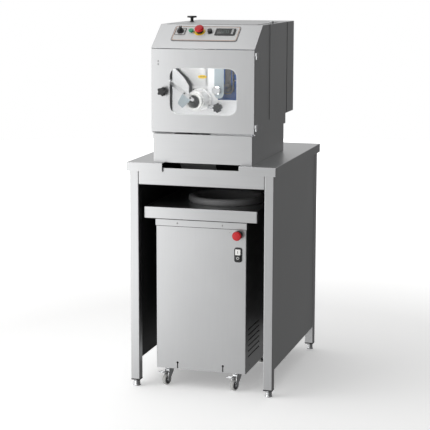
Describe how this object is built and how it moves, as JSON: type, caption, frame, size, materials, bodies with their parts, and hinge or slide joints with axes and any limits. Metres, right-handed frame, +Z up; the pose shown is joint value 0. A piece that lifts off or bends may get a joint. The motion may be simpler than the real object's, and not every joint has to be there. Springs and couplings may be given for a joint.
{
  "type": "dough divider and rounder station",
  "caption": "Dough divider with a clear-window door on a stainless work table, and a wheeled dough rounder with a bowl parked under it.",
  "frame": {"origin": "centre of the tabletop footprint, on the floor", "axes": "+Z up, -Y towards the door side, +X to the right when facing the door"},
  "size_m": [0.66, 0.88, 1.6063],
  "materials": {
    "stainless": "brushed, satin",
    "chrome": "polished",
    "cast_aluminium": "fine cast, satin",
    "bowl_coating": "dark nonstick coat",
    "blue_enamel": "gloss enamel on a cast housing",
    "white_plastic": "satin",
    "black_plastic": "satin",
    "red_plastic": "gloss",
    "green_plastic": "gloss",
    "grey_wheel": "satin",
    "clear_pane": "clear pane",
    "chain_steel": "oiled, dark"
  },
  "bodies": {
    "station": {"tabletop": "stainless", "apron_front": "stainless", "rear_panel": "stainless", "side_panel_left": "stainless", "side_panel_right": "stainless", "leg_front_left": "stainless", "leg_front_right": "stainless", "leg_rear_left": "stainless", "leg_rear_right": "stainless", "plinth": "stainless", "casing": "stainless", "rear_hood": "stainless", "door_hinge_upper": "chrome", "door_hinge_lower": "chrome", "control_panel": "white_plastic", "hopper": "cast_aluminium", "barrel": "cast_aluminium", "nozzle": "white_plastic", "auger_gearmotor": "blue_enamel", "drive_chain": "chain_steel", "knife_gearmotor": "blue_enamel"},
    "door": {"door": "stainless", "door_window": "clear_pane"},
    "door_knob": {"door_knob": "black_plastic"},
    "lid": {"lid": "stainless"},
    "main_switch": {"main_switch": "black_plastic"},
    "start_button": {"start_button": "green_plastic"},
    "stop_button": {"stop_button": "red_plastic"},
    "speed_knob": {"speed_knob": "black_plastic"},
    "auger": {"auger": "cast_aluminium"},
    "knife": {"knife": "stainless", "knife_shaft": "chrome"},
    "motor_sprocket": {"motor_sprocket": "chain_steel"},
    "clamp_knob": {"clamp_knob": "black_plastic"},
    "feeler_arm": {"feeler_arm": "stainless"},
    "cart": {"cart_base": "stainless", "cart_cabinet": "stainless", "cart_cap": "stainless", "rounder_tray": "stainless", "rounding_bowl": "bowl_coating", "rounder_gearmotor": "cast_aluminium", "switch_frame": "black_plastic"},
    "rounding_screw": {"rounding_screw": "bowl_coating"},
    "cart_stop_button": {"cart_stop_button": "red_plastic"},
    "cart_start_button": {"cart_start_button": "white_plastic"},
    "cart_off_button": {"cart_off_button": "black_plastic"},
    "castor_front_left": {"castor_fork_front_left": "chrome"},
    "wheel_front_left": {"castor_wheel_front_left": "grey_wheel"},
    "brake_front_left": {"brake_pedal_front_left": "chrome"},
    "foot_front_left": {"foot_front_left": "stainless"},
    "castor_front_right": {"castor_fork_front_right": "chrome"},
    "wheel_front_right": {"castor_wheel_front_right": "grey_wheel"},
    "brake_front_right": {"brake_pedal_front_right": "chrome"},
    "foot_front_right": {"foot_front_right": "stainless"},
    "castor_rear_left": {"castor_fork_rear_left": "chrome"},
    "wheel_rear_left": {"castor_wheel_rear_left": "grey_wheel"},
    "foot_rear_left": {"foot_rear_left": "stainless"},
    "castor_rear_right": {"castor_fork_rear_right": "chrome"},
    "wheel_rear_right": {"castor_wheel_rear_right": "grey_wheel"},
    "foot_rear_right": {"foot_rear_right": "stainless"}
  },
  "joints": [
    {"name": "door_swing", "type": "hinge", "parent": "station", "child": "door", "pos_m": [0.2335, -0.397, 1.126], "axis": [0, 0, 1], "range_deg": [0, 110]},
    {"name": "door_knob_turn", "type": "hinge", "parent": "door", "child": "door_knob", "pos_m": [-0.1724, -0.412, 1.3004], "axis": [0, 1, 0], "range_deg": [0, 90]},
    {"name": "lid_lift", "type": "hinge", "parent": "station", "child": "lid", "pos_m": [0.213, -0.058, 1.5835], "axis": [0, 1, 0], "range_deg": [0, 100]},
    {"name": "main_switch_turn", "type": "hinge", "parent": "station", "child": "main_switch", "pos_m": [-0.1237, -0.31461, 1.54574], "axis": [0, -0.5775, 0.8164], "range_deg": [-90, 0]},
    {"name": "start_press", "type": "slide", "parent": "station", "child": "start_button", "axis": [0, 0.5775, -0.8164], "range_m": [0, 0.004], "stiffness_N_per_m": 400, "springref_m": -0.004},
    {"name": "stop_press", "type": "slide", "parent": "station", "child": "stop_button", "axis": [0, 0.5775, -0.8164], "range_m": [0, 0.005], "stiffness_N_per_m": 500, "springref_m": -0.005},
    {"name": "speed_turn", "type": "hinge", "parent": "station", "child": "speed_knob", "pos_m": [0.0077, -0.31461, 1.54574], "axis": [0, -0.5775, 0.8164], "range_deg": [-270, 0]},
    {"name": "auger_spin", "type": "hinge", "parent": "station", "child": "auger", "pos_m": [-0.058, -0.074, 1.2535], "axis": [0, 1, 0], "continuous": true},
    {"name": "knife_spin", "type": "hinge", "parent": "station", "child": "knife", "pos_m": [0.05, -0.356, 1.3045], "axis": [0, 1, 0], "continuous": true},
    {"name": "motor_sprocket_spin", "type": "hinge", "parent": "station", "child": "motor_sprocket", "pos_m": [0.05, -0.196, 1.4345], "axis": [0, 1, 0], "continuous": true},
    {"name": "clamp_turn", "type": "hinge", "parent": "station", "child": "clamp_knob", "pos_m": [0.0333, -0.276, 1.2242], "axis": [0, 1, 0], "range_deg": [0, 360]},
    {"name": "feeler_swing", "type": "hinge", "parent": "station", "child": "feeler_arm", "pos_m": [-0.1565, -0.372, 1.338], "axis": [0, 1, 0], "range_deg": [-60, 0]},
    {"name": "cart_roll", "type": "slide", "parent": "station", "child": "cart", "axis": [0, -1, 0], "range_m": [0, 0.7]},
    {"name": "rounder_spin", "type": "hinge", "parent": "cart", "child": "rounding_screw", "pos_m": [0.04, -0.155, 0.7], "axis": [0, 0, 1], "continuous": true},
    {"name": "cart_stop_press", "type": "slide", "parent": "cart", "child": "cart_stop_button", "axis": [0, 1, 0], "range_m": [0, 0.005], "stiffness_N_per_m": 500, "springref_m": -0.005},
    {"name": "cart_start_press", "type": "slide", "parent": "cart", "child": "cart_start_button", "axis": [0, 1, 0], "range_m": [0, 0.003], "stiffness_N_per_m": 400, "springref_m": -0.003},
    {"name": "cart_off_press", "type": "slide", "parent": "cart", "child": "cart_off_button", "axis": [0, 1, 0], "range_m": [0, 0.003], "stiffness_N_per_m": 400, "springref_m": -0.003},
    {"name": "castor_swivel_front_left", "type": "hinge", "parent": "cart", "child": "castor_front_left", "pos_m": [-0.167, -0.345, 0.068], "axis": [0, 0, 1], "continuous": true},
    {"name": "wheel_spin_front_left", "type": "hinge", "parent": "castor_front_left", "child": "wheel_front_left", "pos_m": [-0.17452, -0.36567, 0.025], "axis": [0.9397, -0.342, 0], "continuous": true},
    {"name": "brake_press_front_left", "type": "hinge", "parent": "castor_front_left", "child": "brake_front_left", "pos_m": [-0.17966, -0.37977, 0.0595], "axis": [0.9397, -0.342, 0], "range_deg": [0, 12], "stiffness_Nm_per_rad": 2, "springref_deg": -5.73},
    {"name": "foot_turn_front_left", "type": "hinge", "parent": "station", "child": "foot_front_left", "pos_m": [-0.299, -0.409, 0], "axis": [0, 0, 1], "range_deg": [0, 360]},
    {"name": "castor_swivel_front_right", "type": "hinge", "parent": "cart", "child": "castor_front_right", "pos_m": [0.143, -0.345, 0.068], "axis": [0, 0, 1], "continuous": true},
    {"name": "wheel_spin_front_right", "type": "hinge", "parent": "castor_front_right", "child": "wheel_front_right", "pos_m": [0.13548, -0.36567, 0.025], "axis": [0.9397, -0.342, 0], "continuous": true},
    {"name": "brake_press_front_right", "type": "hinge", "parent": "castor_front_right", "child": "brake_front_right", "pos_m": [0.13034, -0.37977, 0.0595], "axis": [0.9397, -0.342, 0], "range_deg": [0, 12], "stiffness_Nm_per_rad": 2, "springref_deg": -5.73},
    {"name": "foot_turn_front_right", "type": "hinge", "parent": "station", "child": "foot_front_right", "pos_m": [0.299, -0.409, 0], "axis": [0, 0, 1], "range_deg": [0, 360]},
    {"name": "castor_swivel_rear_left", "type": "hinge", "parent": "cart", "child": "castor_rear_left", "pos_m": [-0.167, 0.13, 0.068], "axis": [0, 0, 1], "continuous": true},
    {"name": "wheel_spin_rear_left", "type": "hinge", "parent": "castor_rear_left", "child": "wheel_rear_left", "pos_m": [-0.17452, 0.10933, 0.025], "axis": [0.9397, -0.342, 0], "continuous": true},
    {"name": "foot_turn_rear_left", "type": "hinge", "parent": "station", "child": "foot_rear_left", "pos_m": [-0.299, 0.409, 0], "axis": [0, 0, 1], "range_deg": [0, 360]},
    {"name": "castor_swivel_rear_right", "type": "hinge", "parent": "cart", "child": "castor_rear_right", "pos_m": [0.143, 0.13, 0.068], "axis": [0, 0, 1], "continuous": true},
    {"name": "wheel_spin_rear_right", "type": "hinge", "parent": "castor_rear_right", "child": "wheel_rear_right", "pos_m": [0.13548, 0.10933, 0.025], "axis": [0.9397, -0.342, 0], "continuous": true},
    {"name": "foot_turn_rear_right", "type": "hinge", "parent": "station", "child": "foot_rear_right", "pos_m": [0.299, 0.409, 0], "axis": [0, 0, 1], "range_deg": [0, 360]}
  ],
  "couplings": [
    {"joint": "motor_sprocket_spin", "follows": "knife_spin", "ratio": 1.25}
  ]
}
